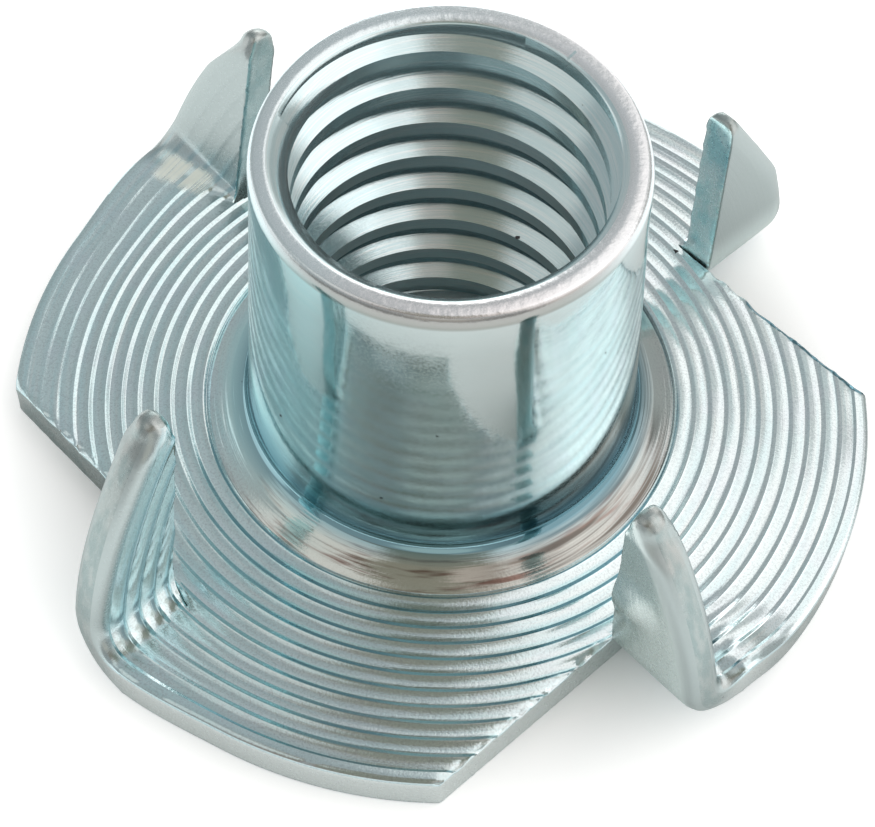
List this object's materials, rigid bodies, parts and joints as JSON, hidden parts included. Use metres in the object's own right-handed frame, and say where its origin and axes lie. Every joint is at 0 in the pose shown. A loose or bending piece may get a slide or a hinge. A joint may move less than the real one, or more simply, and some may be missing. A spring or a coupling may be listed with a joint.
{
  "type": "tee nut",
  "caption": "Tee nut for wood: round ringed flange, threaded barrel and bent-up prongs, formed from one piece of zinc-plated steel.",
  "frame": {"origin": "centre of the flange's flat underside, on the bore's axis", "axes": "+Z along the bore from the flange to the barrel's rim; the first prong's bend line lies at 45 degrees from +X towards +Y"},
  "size_m": [0.022, 0.022, 0.0104],
  "materials": {
    "zinc_plated_steel": "bright zinc plating with a blue passivated tint, turned rings on the flange, smooth barrel"
  },
  "bodies": {
    "root": {"tee_nut": "zinc_plated_steel"}
  },
  "joints": []
}
